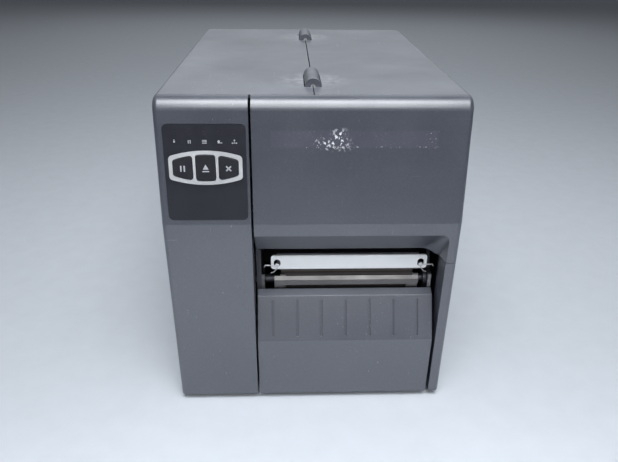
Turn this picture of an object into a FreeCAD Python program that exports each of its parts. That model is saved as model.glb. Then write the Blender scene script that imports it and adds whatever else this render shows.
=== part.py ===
import FreeCAD, Part
import math
import os
from FreeCAD import Placement, Rotation, Vector

os.makedirs("parts", exist_ok=True)

# Desktop thermal label printer, in millimetres.
# +X is to the right of someone facing the control panel, +Y runs to the back, +Z is up.
# The origin is under the middle of the body, on the surface that the rubber feet stand on.

# Envelope of the body, seen from the side
body_w = 239.0
body_d = 432.0
body_h = 280.0
foot_h = 5.0
wall = 2.5
crease_drop = 98.0
lean = 0.124
front_top_r = 11.0
side_r = 4.0
top_length = 342.0
rear_drop = 75.0
rear_r = 8.0

# Seams, running clearances, the overrun of cutters, and tolerances for picking edges
seam = 0.8
front_seam = 1.8
running = 0.05
near = 0.3
over = 1.0
tiny = 0.01
mostly = 0.9

# Panel splits
front_slab = 20.5
bezel_right = -49.2
panel_gap_z = 1.0
door_z = 145.5
fold_drop = 9.0
wing_w = 9.5
rear_split = -47.6

# Tabs that carry the door's front on its top leaf, and the grip of the side leaf
tab_count = 3
tab_x0 = 12.0
tab_pitch = 40.0
tab_w = 16.0
tab_reach = 8.0
grip_depth = 6.0
grip_len = 80.0

# Mouth of the door front, above the label exit
mouth_z = 171.5
mouth_leg = 9.0
mouth_depth = 17.0
mouth_drop = 21.0
mouth_side = 3.5
mouth_r = 6.0
mouth_r_grow = 8.0

# Lower front cover
cover_crease_z = 66.5
cover_top_z = 102.4
cover_back = 17.7
cover_ledge = 7.3
cover_ledge_rise = 3.0
cover_gap = 2.8
groove_count = 7
groove_pitch = 21.3
groove_w = 1.9
groove_len = 32.6
groove_depth = 1.3

# Control panel on the leaning face
overlay_left = 6.5
overlay_right = 2.2
overlay_h = 75.0
overlay_v = 41.8
overlay_r = 4.0
overlay_t = 0.9
overlay_sink = 0.6
ring_in = 3.05
ring_h = 26.4
ring_end_h = 17.5
ring_v = 46.3
ring_band = 3.1
ring_bar = 2.7
ring_corner = 3.0
ring_t = 0.7
key_gap = 0.35
key_r = 2.0
key_edge_r = 0.4
key_proud = 0.5
key_depth = 5.5
lamp_count = 5
lamp_v = 72.9
lamp_pitch = 11.2
lamp_r = 1.6
board_t = 1.6
control_board_back = 9.0
control_board_in = 1.0
control_board_r = 1.0
post_r = 2.5
post_in_x = 3.8
post_in_v = 5.5
post_bite = 0.2
pad_w = 6.0
pad_t = 1.2

# Door hinges on the top seam
hinge_r = 6.4
hinge_len = 43.0
hinge_mid = 18.0
hinge_front = 66.5
hinge_rear = 283.5
hinge_pin_r = 2.0
hinge_leaf_t = 2.0
hinge_leaf_w = 20.0
hinge_bite = 3.0

# Fold between the door's top and side leaves
fold_x_in = 5.4
fold_knuckle_r = 2.4
fold_pin_r = 1.2
fold_knuckles = 9
fold_knuckle_len = 14.0
fold_end = 20.0
window_margin = 24.0
window_r = 12.0
window_t = 2.0
window_lap = 5.0

# Frame
base_t = 3.0
base_rim_h = 7.0
base_rim_t = 2.0
foot_r = 11.0
foot_taper = 1.0
foot_in = 26.0
foot_end = 45.0
foot_stud_r = 3.8
foot_stud_gap = 0.2
plate_x = -44.0
plate_t = 4.0
outer_plate_in = 15.5
inner_plate_t = 2.6
outer_plate_t = 3.0
outer_plate_back = 128.0
outer_plate_top = 172.0
nose_back = 1.5
nose_rise = 2.0
brow_back = 2.0
brow_rise = 4.0
lever_pad = 18.0
pivot_pad = 12.0
relief_front = 22.0
relief_edge = 14.0
relief_under = 24.0
plate_foot_w = 12.0
inner_plate_back = 14.0
inner_plate_rise = 3.5
under_platen = 2.0
beam_depth = 30.0
beam_drop = 10.0
beam_t = 6.0
beam_lip_t = 2.0

# Print mechanism: distances back from the front plane, and heights
platen_back = 38.0
platen_z = 108.0
platen_r = 9.0
platen_shaft_r = 4.0
platen_x0 = -27.0
platen_gap_right = 13.0
bearing_r = 8.0
bearing_t = 6.0
shaft_end = 1.0
tear_x0 = -32.6
tear_gap_right = 9.0
tear_back = 24.5
tear_z0 = 109.4
tear_z1 = 117.6
tear_t = 1.6
tear_horn = 5.0
tear_horn_in = 5.0
tear_horn_h = 1.6
tear_slope_h = 3.0
tear_slope_d = 2.0
tear_shelf = 2.5
tear_bracket_w = 10.0
pivot_back = 112.0
pivot_z = 143.0
pivot_r = 4.0
pivot_boss = 9.0
head_x0 = -30.0
head_gap_right = 9.0
head_t = 3.0
head_front = 31.0
head_top = 138.0
flange_drop = 1.0
cheek_rise = 8.0
cheek_top_in = 10.0
cheek_low_in = 14.0
cheek_low_rise = 8.0
head_over_left = 5.5
head_over_right = 7.3
head_plate_z0 = 123.0
head_plate_h = 13.5
head_plate_t = 1.5
head_plate_r = 2.6
head_eye_in = 5.4
head_eye_r = 2.9
head_eye_rise = 2.2
head_eye_drop = 1.08
head_screw_r = 1.9
head_screw_drop = 0.6
head_screw_proud = 0.6
head_socket_r = 0.95
head_wire_r = 0.55
head_wire_gap = 0.1
head_hook = ((3.2, -4.2), (5.4, -4.8))
head_arm = ((10.5, 0.4), (11.4, -1.6))
media_t = 0.4
strip_t = 2.0
strip_back = 14.0
sink_back = 24.0
sink_slots = 6
sink_pitch = 4.0
sink_slot_w = 2.0
sink_end = 12.0
sink_floor = 5.0
lever_back = 72.0
lever_z = 168.0
lever_shaft_r = 4.0
toggle_len = 24.0
toggle_w = 14.0
toggle_in = 24.0
toggle_half = 4.0
toggle_hub_r = 9.0
lever_len = 40.0
lever_t = 4.0
lever_gap = 1.0
lever_hub_r = 10.0
lever_half = 5.0
lever_tip_r = 7.0

# Ribbon spindles
spindle_r = 12.4
spindle_shaft_r = 5.0
spindle_len = 112.0
spindle_flange_r = 22.0
spindle_flange_t = 3.0
spindle_gap = 1.0
spindle_shaft_end = 3.0
spindle_chamfer = 1.5
spring_count = 3
spring_start = 20.0
spring_end = 12.0
spring_w = 4.0
spring_depth = 1.5
takeup_back = 128.0
takeup_z = 222.0
supply_back = 218.0
supply_z = 226.0

# Label supply
hanger_back = 312.0
hanger_z = 168.0
hanger_len = 128.0
hanger_w = 22.0
hanger_h = 9.0
hanger_r = 4.0
hanger_foot_t = 5.0
hanger_foot_side = 8.0
hanger_foot_low = 22.0
hanger_foot_high = 14.0
guide_rise = 46.0
guide_low = 14.0
guide_half = 20.0
guide_t = 4.0
collar_len = 18.0
collar_wall = 8.0
guide_at = 96.0
media_guide_gap = 0.3
dancer_back = 196.0
dancer_z = 92.0
dancer_pin_r = 3.0
dancer_arm_len = 36.0
dancer_roll_r = 6.0
dancer_roll_len = 112.0
dancer_gap = 1.0
dancer_w = 8.0
dancer_hub_r = 8.0
dancer_half = 5.0
dancer_boss_r = 7.0
dancer_roll_pin_r = 3.0
dancer_pin_end = 4.0
edge_rail_back = 122.0
edge_rail_z = 98.0
edge_rail_r = 3.0
edge_guide_at = 100.0
edge_guide_len = 12.0
edge_guide_half = 7.0
edge_fin_t = 3.0
edge_fin_back = 18.0
edge_fin_low = 4.0
edge_fin_high = 14.0
sensor_back = 36.0
sensor_len = 34.0
sensor_d = 16.0
sensor_low = 4.0
sensor_slot_low = 2.0
sensor_slot_high = 5.0
sensor_top = 9.0
sensor_spine = 6.0

# Drive on the electronics side
motor_back = 96.0
motor_z = 62.0
motor_side = 56.0
motor_len = 40.0
motor_shaft_r = 3.175
motor_gap = 12.0
motor_r = 5.0
motor_cap = 4.0
standoff_in = 5.0
standoff_r = 3.0
pulley_w = 8.0
pulley_flange = 2.0
motor_pulley_r = 8.0
platen_pulley_r = 15.0
belt_w = 6.0
belt_t = 1.4

# Electronics
board_gap = 18.0
board_back = 205.0
board_z0 = 92.0
board_h = 100.0
board_rear = 18.0
board_hole_in = 6.0
cap_count = 4
cap_r = 6.0
cap_h = 20.0
cap_first = 20.0
cap_pitch = 18.0
cap_rise = 16.0
cooler_y = 30.0
cooler_len = 50.0
cooler_z = 40.0
cooler_h = 40.0
cooler_base = 4.0
cooler_fins = 6
cooler_fin_h = 14.0
cooler_fin_t = 2.0
chip_y = 110.0
chip_z = 44.0
chip_side = 28.0
chip_t = 2.0
supply_box_in = 7.5
supply_box_w = 50.0
supply_box_rear = 42.0
supply_box_len = 165.0
supply_box_h = 60.0
vent_count = 10
vent_pitch = 14.0
vent_w = 6.0
vent_end = 8.0
vent_depth = 2.0

# Sockets and the mains switch in the rear panel
socket_recess = 0.3
inlet_z = 46.0
inlet_in = 27.5
inlet_w = 28.0
inlet_h = 20.0
inlet_depth = 26.0
inlet_wall = 2.0
inlet_mouth = 17.0
blade_w = 4.0
blade_t = 2.0
blade_in = 5.0
blade_spread = 7.0
blade_offset = 2.0
switch_h = 22.0
switch_depth = 20.0
switch_wall = 3.0
switch_mouth = 16.0
rocker_z = 82.0
rocker_gap = 0.4
rocker_in = 8.0
rocker_back = 1.0
rocker_low = 7.0
rocker_low_out = 4.2
rocker_mid_out = 5.0
rocker_high = 5.6
rocker_high_out = 7.4
rocker_hub_r = 3.2
port_in = 10.0
port_depth = 17.0
port_recess = 0.4
port_wall = 1.2
port_mouth = 10.0
tongue_in = 2.5
usb_w, usb_h, usb_z = 12.0, 11.0, 168.0
serial_w, serial_h, serial_z = 12.5, 31.0, 138.0
network_w, network_h, network_z = 14.0, 16.5, 108.0

front = -body_d / 2
back = body_d / 2
half_w = body_w / 2
top_end = front + top_length
panel_z0 = foot_h + panel_gap_z
base_top = foot_h + base_t
door_left = bezel_right + front_seam
door_y0 = front + front_slab + seam
skirt_top = door_z - seam
cover_x0 = bezel_right + front_seam
cover_x1 = half_w - wing_w - cover_gap
lean_deg = math.degrees(math.atan(lean))
fold_z = body_h - fold_drop
crease_z = body_h - crease_drop
rear_z = body_h - rear_drop
panel_x = (bezel_right - overlay_right - half_w + overlay_left) / 2
overlay_w = bezel_right - overlay_right + half_w - overlay_left
ring_w = overlay_w - 2 * ring_in
key_w = (ring_w - 2 * ring_band - 2 * ring_bar) / 3
key_pitch = key_w + ring_bar
post_x = overlay_w / 2 - post_in_x
post_v = overlay_h / 2 - post_in_v
outer_plate_x = half_w - outer_plate_in
platen_len = outer_plate_x - platen_gap_right - platen_x0
tear_len = outer_plate_x - tear_gap_right - tear_x0
head_len = outer_plate_x - head_gap_right - head_x0
head_plate_x0 = head_x0 - head_over_left
head_plate_len = head_len + head_over_left + head_over_right
board_x = plate_x - plate_t - board_gap
port_x = board_x - port_in
supply_box_x0 = -half_w + supply_box_in
inlet_x = -half_w + inlet_in
beam_top = platen_z - platen_r - under_platen
ports = ((usb_w, usb_h, usb_z), (serial_w, serial_h, serial_z), (network_w, network_h, network_z))


# Small makers used by every piece
def box(x0, x1, y0, y1, z0, z1):
    return Part.makeBox(x1 - x0, y1 - y0, z1 - z0, Vector(x0, y0, z0))


def rod_x(radius, x0, x1, y, z):
    return Part.makeCylinder(radius, x1 - x0, Vector(x0, y, z), Vector(1, 0, 0))


def rod_y(radius, x, y0, y1, z):
    return Part.makeCylinder(radius, y1 - y0, Vector(x, y0, z), Vector(0, 1, 0))


def rod_z(radius, x, y, z0, z1):
    return Part.makeCylinder(radius, z1 - z0, Vector(x, y, z0), Vector(0, 0, 1))


def joined(first, *others):
    return first.multiFuse(list(others)).removeSplitter()


def prism_x(points, x0, x1):
    """Extrudes a polygon of (y, z) points from x0 to x1."""
    corners = [Vector(x0, y, z) for y, z in points]
    face = Part.Face(Part.makePolygon(corners + corners[:1]))
    return face.extrude(Vector(x1 - x0, 0, 0))


def inset(points, distance):
    """Moves each side of a convex clockwise polygon inwards by a distance."""
    count = len(points)
    lines = []
    for i in range(count):
        (y0, z0), (y1, z1) = points[i], points[(i + 1) % count]
        length = math.hypot(y1 - y0, z1 - z0)
        dy, dz = (y1 - y0) / length, (z1 - z0) / length
        lines.append((y0 + dz * distance, z0 - dy * distance, dy, dz))
    moved = []
    for i in range(count):
        y0, z0, ay, az = lines[i - 1]
        y1, z1, by, bz = lines[i]
        along = ((y1 - y0) * bz - (z1 - z0) * by) / (ay * bz - az * by)
        moved.append((y0 + ay * along, z0 + az * along))
    return moved


def rounded_plate(width, height, radius, thickness):
    """A flat plate with round corners, centred on the local origin and rising from it."""
    x, y = width / 2, height / 2
    plate = Part.makeBox(width, height, thickness, Vector(-x, -y, 0))
    upright = [e for e in plate.Edges if abs(e.tangentAt(e.FirstParameter).z) > mostly]
    return plate.makeFillet(radius, upright)


def obround(width, length, thickness):
    """A round-ended bar along local Y, centred on the local origin and rising from it."""
    r = width / 2
    straight = length - width
    bar = Part.makeBox(width, straight, thickness, Vector(-r, -straight / 2, 0))
    ends = [Part.makeCylinder(r, thickness, Vector(0, s * straight / 2, 0)) for s in (-1, 1)]
    return joined(bar, *ends)


def on_lean(shape, x, along, out=0.0):
    """Puts a flat local shape on the leaning upper front, at a width, a height along the face and a lift."""
    s, c = math.sin(math.radians(lean_deg)), math.cos(math.radians(lean_deg))
    base = Vector(x, front + along * s - out * c, crease_z + along * c + out * s)
    moved = shape.copy()
    moved.Placement = Placement(base, Rotation(Vector(1, 0, 0), 90 - lean_deg))
    return moved


def save(name, *shapes):
    solids = [s for shape in shapes for s in shape.Solids]
    whole = solids[0] if len(solids) == 1 else Part.makeCompound(solids)
    bad = [s for s in solids if not s.isValid() or s.Volume <= 0]
    print(f"{name}: {len(solids)} solid(s), {whole.Volume / 1000:.2f} cm3", "BAD" if bad else "")
    whole.exportStep(f"parts/{name}.step")


# Envelope and the hollow shell that every cover is cut from
outline = [
    (front, foot_h),
    (front, crease_z),
    (front + (body_h - crease_z) * lean, body_h),
    (top_end, body_h),
    (back, rear_z),
    (back, foot_h),
]


def envelope(distance):
    """The body's outer form, moved inwards by a distance, with its rounded edges."""
    points = inset(outline, distance)
    if distance > 0:
        points[0] = (points[0][0], foot_h - wall)
        points[5] = (points[5][0], foot_h - wall)
    x = half_w - distance
    solid = prism_x(points, -x, x)
    for corner, radius in ((2, front_top_r), (3, rear_r), (4, rear_r)):
        y, z = points[corner]
        edges = [
            e
            for e in solid.Edges
            if abs(e.CenterOfMass.y - y) < tiny and abs(e.CenterOfMass.z - z) < tiny
        ]
        solid = solid.makeFillet(radius - distance, edges)
    side_edges = [
        e
        for e in solid.Edges
        if abs(abs(e.CenterOfMass.x) - x) < tiny and e.CenterOfMass.z > points[0][1] + tiny
    ]
    return solid.makeFillet(side_r - distance, side_edges)


outer = envelope(0.0)
inner = envelope(wall)
shell = outer.cut(inner)
far = body_d


def hinge_centres():
    return [front + hinge_front, front + hinge_rear]


def hinge_pockets():
    """Clear space in both covers around the two hinge barrels."""
    clear = hinge_r + 2 * near
    return [
        rod_y(clear, 0, y - hinge_len / 2 - near, y + hinge_len / 2 + near, body_h)
        for y in hinge_centres()
    ]


# Covers
def control_bezel():
    reach = box(-far, bezel_right, -far, front + front_slab, panel_z0, far)
    cheek = box(bezel_right - wall, bezel_right, -far, front + front_slab, panel_z0, far)
    bezel = joined(shell.common(reach), outer.common(cheek))
    pocket = rounded_plate(overlay_w + near, overlay_h + near, overlay_r, overlay_sink * 2)
    bezel = bezel.cut(on_lean(pocket, panel_x, overlay_v, -overlay_sink))
    for key in key_outlines(key_gap):
        opening = softened(key.extrude(Vector(0, 0, 4 * wall)), key_r + key_gap)
        bezel = bezel.cut(on_lean(opening, panel_x, ring_v, -3 * wall))
    post = Part.makeCylinder(post_r, control_board_back - wall + post_bite)
    posts = [
        on_lean(post, panel_x + dx, overlay_v + dv, -control_board_back)
        for dx in (-post_x, post_x)
        for dv in (-post_v, post_v)
    ]
    return joined(bezel, *posts)


def mouth_wire(y, grow):
    """Outline of the mouth at a depth: it narrows and drops towards the back."""
    share = (y - front) / mouth_depth
    x0, z0 = -half_w, cover_top_z - grow
    x1 = half_w - mouth_leg - mouth_side * share + grow
    z1 = mouth_z - mouth_drop * share + grow
    r = mouth_r + mouth_r_grow * share + grow
    middle = r * (1 - math.sqrt(0.5))
    a, b, c, d = (Vector(x0, y, z0), Vector(x1, y, z0), Vector(x1, y, z1 - r), Vector(x1 - r, y, z1))
    e = Vector(x0, y, z1)
    arc = Part.Arc(c, Vector(x1 - middle, y, z1 - middle), d).toShape()
    foot, right = Part.makeLine(a, b), Part.makeLine(b, c)
    brow, left = Part.makeLine(d, e), Part.makeLine(e, a)
    return Part.Wire([foot, right, arc, brow, left])


def mouth_block(y0, y1, grow):
    return Part.makeLoft([mouth_wire(y0, grow), mouth_wire(y1, grow)], True, True)


def door_front():
    reach = box(door_left, far, -far, front + front_slab, door_z, far)
    opening = mouth_block(front - wall, front + mouth_depth + wall, 0.0)
    lip = mouth_block(front, front + mouth_depth, wall).common(reach).common(outer)
    cheek = outer.common(box(door_left, door_left + wall, -far, front + front_slab, mouth_z, far))
    panel = joined(shell.common(reach), lip, cheek).cut(opening)
    y0, y1 = front + front_slab - wall, front + front_slab
    tab_z = body_h - wall - near
    carriers = []
    for i in range(tab_count):
        x = tab_x0 + i * tab_pitch
        tab = box(x, x + tab_w, y0, door_y0 + tab_reach, tab_z - wall, tab_z)
        strut = box(x, x + tab_w, y0, y1, tab_z - wall, body_h - wall / 2)
        carriers += [tab, strut]
    return joined(panel, *carriers)


def fold_axis():
    return half_w - fold_x_in, fold_z - seam / 2


def fold_spans(part):
    """Start and end of each fold knuckle along Y: even ones are the top leaf's, odd ones the side leaf's."""
    first = door_y0 + fold_end
    step = (top_end - fold_end - fold_knuckle_len - first) / (fold_knuckles - 1)
    starts = [first + i * step for i in range(part, fold_knuckles, 2)]
    return [(y, y + fold_knuckle_len) for y in starts]


def door_top():
    reach = box(seam / 2, far, door_y0, top_end, fold_z, far)
    leaf = shell.common(reach)
    for pocket in hinge_pockets():
        leaf = leaf.cut(pocket)
    x, z = fold_axis()
    webs = []
    for y0, y1 in fold_spans(0):
        knuckle = rod_y(fold_knuckle_r, x, y0, y1, z)
        web = box(x - fold_pin_r, x + fold_pin_r, y0, y1, z, body_h - wall / 2)
        webs.append(joined(knuckle, web).cut(rod_y(fold_pin_r + running, x, y0 - over, y1 + over, z)))
    return joined(leaf, *webs)


def window_box():
    """Width and height of the window's clear opening in the side leaf, as low and high corners (y, z)."""
    return (
        (door_y0 + window_margin, door_z + window_margin),
        (top_end - window_margin, fold_z - window_margin),
    )


def window_cut(grow, x0, x1):
    (y0, z0), (y1, z1) = window_box()
    plate = rounded_plate(y1 - y0 + 2 * grow, z1 - z0 + 2 * grow, window_r + grow, x1 - x0)
    plate.Placement = Placement(
        Vector(x0, (y0 + y1) / 2, (z0 + z1) / 2), Rotation(Vector(1, 1, 1), 120)
    )
    return plate


def door_side():
    reach = box(half_w - side_r, far, door_y0, top_end, door_z, fold_z - seam)
    leaf = shell.common(reach).cut(window_cut(0.0, half_w - far, half_w + far))
    x, z = fold_axis()
    knuckles = []
    for y0, y1 in fold_spans(1):
        knuckle = rod_y(fold_knuckle_r, x, y0, y1, z)
        arm = box(x, half_w - wall / 2, y0, y1, z - fold_knuckle_r, z - seam)
        knuckles.append(joined(knuckle, arm).cut(rod_y(fold_pin_r + running, x, y0 - over, y1 + over, z)))
    x0, x1 = half_w - wall - grip_depth, half_w - wall / 2
    grip = box(x0, x1, -grip_len / 2, grip_len / 2, door_z, door_z + wall)
    return joined(leaf, grip, *knuckles)


def door_window():
    return window_cut(window_lap, half_w - wall - window_t, half_w - wall)


def electronics_cover():
    main = box(-far, -seam / 2, door_y0, back - wall - near, panel_z0, far)
    crown = box(-far, -seam / 2, top_end, far, rear_z - rear_r, far)
    cover = shell.common(joined(main, crown))
    for pocket in hinge_pockets():
        cover = cover.cut(pocket)
    return cover


def rear_cover():
    crown = shell.common(box(seam / 2, far, top_end + seam, far, skirt_top + seam, far))
    lower = shell.common(
        box(rear_split, half_w - wing_w - seam, back - wall, far, panel_z0, rear_z - rear_r - seam)
    )
    return joined(crown, lower)


def side_skirt():
    reach = box(half_w - wing_w, far, -far, far, panel_z0, skirt_top)
    cheek = box(half_w - wing_w, half_w - wing_w + wall, -far, front + front_slab, panel_z0, skirt_top)
    return joined(shell.common(reach), outer.common(cheek))


def front_cover():
    face = [
        (front, panel_z0),
        (front, cover_crease_z),
        (front + cover_back, cover_top_z),
        (front + cover_back + cover_ledge, cover_top_z + cover_ledge_rise),
        (front + cover_back + cover_ledge, panel_z0),
    ]
    block = prism_x(face, cover_x0, cover_x1)
    hollow = inset(face, wall)
    hollow[0] = (hollow[0][0], panel_z0 - wall)
    hollow[4] = (front + cover_back + cover_ledge + wall, panel_z0 - wall)
    hollow[3] = (front + cover_back + cover_ledge + wall, hollow[3][1])
    cover = block.cut(prism_x(hollow, cover_x0 + wall, cover_x1 - wall))
    rise = math.atan2(cover_top_z - cover_crease_z, cover_back)
    slope = math.hypot(cover_top_z - cover_crease_z, cover_back)
    middle_x = (cover_x0 + cover_x1) / 2
    for i in range(groove_count):
        groove = obround(groove_w, groove_len, groove_depth * 2)
        x = middle_x + (i - (groove_count - 1) / 2) * groove_pitch
        y = front + math.cos(rise) * slope / 2
        z = cover_crease_z + math.sin(rise) * slope / 2
        out = Vector(0, -math.sin(rise), math.cos(rise))
        groove.Placement = Placement(
            Vector(x, y, z) - out * groove_depth, Rotation(Vector(1, 0, 0), math.degrees(rise))
        )
        cover = cover.cut(groove)
    return cover


def socket_block(x, z, width, height, depth, recess):
    """The body of a socket or switch, let into the rear panel from the inside."""
    return box(x - width / 2, x + width / 2, back - depth, back - recess, z - height / 2, z + height / 2)


def rear_openings():
    """Middle, width and height of each opening for a socket or the mains switch."""
    openings = [(port_x, z, width, height) for width, height, z in ports]
    return openings + [(inlet_x, inlet_z, inlet_w, inlet_h), (inlet_x, rocker_z, inlet_w, switch_h)]


def rear_panel():
    panel = shell.common(
        box(-far, rear_split - seam, back - wall, far, panel_z0, rear_z - rear_r - seam)
    )
    for x, z, width, height in rear_openings():
        hole = socket_block(x, z, width + 2 * running, height + 2 * running, 2 * wall, -over)
        panel = panel.cut(hole)
    return panel


# Control panel
def ring_outline(shrink):
    """The barrel-shaped outline of the key ring: curved top and bottom, straight ends."""
    x, mid, end = ring_w / 2 - shrink, ring_h / 2 - shrink, ring_end_h / 2 - shrink
    top = Part.Arc(Vector(-x, end, 0), Vector(0, mid, 0), Vector(x, end, 0)).toShape()
    low = Part.Arc(Vector(x, -end, 0), Vector(0, -mid, 0), Vector(-x, -end, 0)).toShape()
    right = Part.makeLine(Vector(x, end, 0), Vector(x, -end, 0))
    left = Part.makeLine(Vector(-x, -end, 0), Vector(-x, end, 0))
    return Part.Face(Part.Wire([top, right, low, left]))


def softened(plate, radius):
    """Rounds the upright edges of a flat plate."""
    straight = [e for e in plate.Edges if e.Curve.TypeId == "Part::GeomLine"]
    upright = [e for e in straight if abs(e.tangentAt(e.FirstParameter).z) > mostly]
    return plate.makeFillet(radius, upright)


def key_outlines(grow):
    """The three key shapes inside the ring, as flat faces on the local plane."""
    inside = ring_outline(ring_band - grow)
    faces = []
    for x in (-key_pitch, 0.0, key_pitch):
        x0 = x - key_w / 2 - grow
        strip = Part.makePlane(key_w + 2 * grow, ring_h, Vector(x0, -ring_h / 2, 0))
        faces.append(inside.common(strip).Faces[0])
    return faces


def lamp_places():
    """Places of the indicator lamps along the panel, from its middle."""
    return [(i - (lamp_count - 1) / 2) * lamp_pitch for i in range(lamp_count)]


def panel_overlay():
    plate = rounded_plate(overlay_w, overlay_h, overlay_r, overlay_t)
    plate.translate(Vector(0, overlay_v - ring_v, 0))
    for key in key_outlines(key_gap):
        plate = plate.cut(softened(key.extrude(Vector(0, 0, 4 * overlay_t)), key_r + key_gap))
    for x in lamp_places():
        plate = plate.cut(Part.makeCylinder(lamp_r, overlay_t * 2, Vector(x, lamp_v - ring_v, 0)))
    return on_lean(plate, panel_x, ring_v, -overlay_sink)


def button_ring():
    ring = softened(ring_outline(0.0).extrude(Vector(0, 0, ring_t)), ring_corner)
    for key in key_outlines(key_gap):
        ring = ring.cut(softened(key.extrude(Vector(0, 0, ring_t * 2)), key_r + key_gap))
    return on_lean(ring, panel_x, ring_v, overlay_t - overlay_sink)


def button(index):
    depth = key_depth + key_proud + ring_t
    cap = key_outlines(0.0)[index].extrude(Vector(0, 0, depth))
    cap = softened(cap, key_r)
    face_edges = [e for e in cap.Edges if e.BoundBox.ZMin > depth - tiny]
    cap = cap.makeFillet(key_edge_r, face_edges)
    return on_lean(cap, panel_x, ring_v, overlay_t - overlay_sink - key_depth)


def indicator_lenses():
    lens = Part.makeCylinder(lamp_r - running, overlay_t)
    return [on_lean(lens, panel_x + x, lamp_v, -overlay_sink) for x in lamp_places()]


def control_board():
    width, height = overlay_w - 2 * control_board_in, overlay_h - 2 * control_board_in
    board = rounded_plate(width, height, control_board_r, board_t)
    pads = [
        Part.makeBox(pad_w, pad_w, pad_t, Vector(x - pad_w / 2, ring_v - overlay_v - pad_w / 2, board_t))
        for x in (-key_pitch, 0.0, key_pitch)
    ]
    return on_lean(joined(board, *pads), panel_x, overlay_v, -control_board_back - board_t)


# Door hinges
def hinge_barrel(y0, y1):
    bore = rod_y(hinge_pin_r + running, 0, y0 - over, y1 + over, body_h)
    return rod_y(hinge_r, 0, y0, y1, body_h).cut(bore)


def hinge_leaf(side, y0, y1):
    """The flat leaf under a cover that carries a barrel, on the left (-1) or right (1)."""
    z1 = body_h - wall - near / 2
    x0, x1 = sorted((side * (hinge_r - hinge_bite), side * (hinge_r + hinge_leaf_w)))
    return box(x0, x1, y0, y1, z1 - hinge_leaf_t, z1)


def hinge_base_knuckles():
    made = []
    for y in hinge_centres():
        ends = [(y - hinge_len / 2, y - hinge_mid / 2 - near), (y + hinge_mid / 2 + near, y + hinge_len / 2)]
        for y0, y1 in ends:
            made.append(joined(hinge_barrel(y0, y1), hinge_leaf(-1, y0, y1)))
    return made


def hinge_door_knuckles():
    return [
        joined(
            hinge_barrel(y - hinge_mid / 2, y + hinge_mid / 2),
            hinge_leaf(1, y - hinge_mid / 2, y + hinge_mid / 2),
        )
        for y in hinge_centres()
    ]


def hinge_pins():
    return [rod_y(hinge_pin_r, 0, y - hinge_len / 2, y + hinge_len / 2, body_h) for y in hinge_centres()]


def fold_pin():
    x, z = fold_axis()
    spans = fold_spans(0)
    return rod_y(fold_pin_r, x, spans[0][0], spans[-1][1], z)


# Frame
def base_pan():
    x = half_w - wall - near
    y0, y1 = front + cover_ledge + cover_back + wall, back - wall - near
    pan = box(-x, x, y0, y1, foot_h, base_top)
    x_front = bezel_right - wall - near
    pan = joined(pan, box(-x, x_front, front + wall + near, y0 + over, foot_h, base_top))
    rim = box(-x, x, y0, y1, base_top, base_top + base_rim_h)
    x_in, y_in = x - base_rim_t, y1 - base_rim_t
    rim = rim.cut(box(-x_in, x_in, y0 - over, y_in, base_top - over, base_top + base_rim_h + over))
    rim = rim.cut(box(plate_x - plate_t - near, plate_x + near, -far, far, base_top, far))
    pan = joined(pan, rim)
    for x, y in foot_centres():
        pan = pan.cut(rod_z(foot_stud_r + foot_stud_gap, x, y, foot_h - over, base_top + over))
    return pan


def foot_centres():
    x, y = half_w - foot_in, body_d / 2 - foot_end
    return [(sx * x, sy * y) for sx in (-1, 1) for sy in (-1, 1)]


def rubber_feet():
    feet = []
    for x, y in foot_centres():
        foot = Part.makeCone(foot_r - foot_taper, foot_r, foot_h, Vector(x, y, 0))
        feet.append(joined(foot, rod_z(foot_stud_r, x, y, foot_h, base_top)))
    return feet


def center_plate():
    points = inset(outline, wall + seam)
    plate = prism_x(points, plate_x - plate_t, plate_x)
    keep = box(-far, far, front + cover_back + cover_ledge + near, back - wall - seam, base_top, far)
    plate = plate.common(keep)
    holes = [
        (platen_shaft_r, platen_back, platen_z),
        (lever_shaft_r, lever_back, lever_z),
        (spindle_shaft_r, takeup_back, takeup_z),
        (spindle_shaft_r, supply_back, supply_z),
        (dancer_pin_r, dancer_back, dancer_z),
    ]
    for radius, distance, z in holes:
        plate = plate.cut(rod_x(radius + running, -far, far, front + distance, z))
    return plate


def print_side_plate():
    """The outer support of the print mechanism, with its foot on the base."""
    y0, y1 = front + tear_back + nose_back, front + outer_plate_back
    x0, x1 = outer_plate_x, outer_plate_x + outer_plate_t
    face = [
        (y0, base_top),
        (y0, platen_z + bearing_r + nose_rise),
        (front + head_front + head_t + brow_back, platen_z + bearing_r + brow_rise),
        (front + lever_back - lever_pad, outer_plate_top),
        (front + lever_back + lever_pad, outer_plate_top),
        (y1, pivot_z + pivot_pad),
        (y1, base_top),
    ]
    plate = prism_x(face, x0, x1)
    relief = box(x0 - over, x1 + over, y0 + relief_front, y1 - relief_edge, base_top + relief_edge,
                 platen_z - relief_under)
    plate = plate.cut(relief)
    foot = box(x0 - plate_foot_w, x1, y0, y1, base_top, base_top + outer_plate_t)
    plate = joined(plate, foot)
    plate = plate.cut(rod_x(bearing_r + running, x0 - over, x1 + over, front + platen_back, platen_z))
    plate = plate.cut(rod_x(lever_shaft_r + running, x0 - over, x1 + over, front + lever_back, lever_z))
    return plate


def inner_side_plate():
    """The small cheek on the centre plate that mirrors the nose of the outer side plate."""
    y0, y1 = front + tear_back + nose_back, front + platen_back + inner_plate_back
    z0, z1 = beam_top + near, platen_z + bearing_r + inner_plate_rise
    plate = box(plate_x, plate_x + inner_plate_t, y0, y1, z0, z1)
    return plate.cut(rod_x(platen_shaft_r + running, -far, far, front + platen_back, platen_z))


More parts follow.
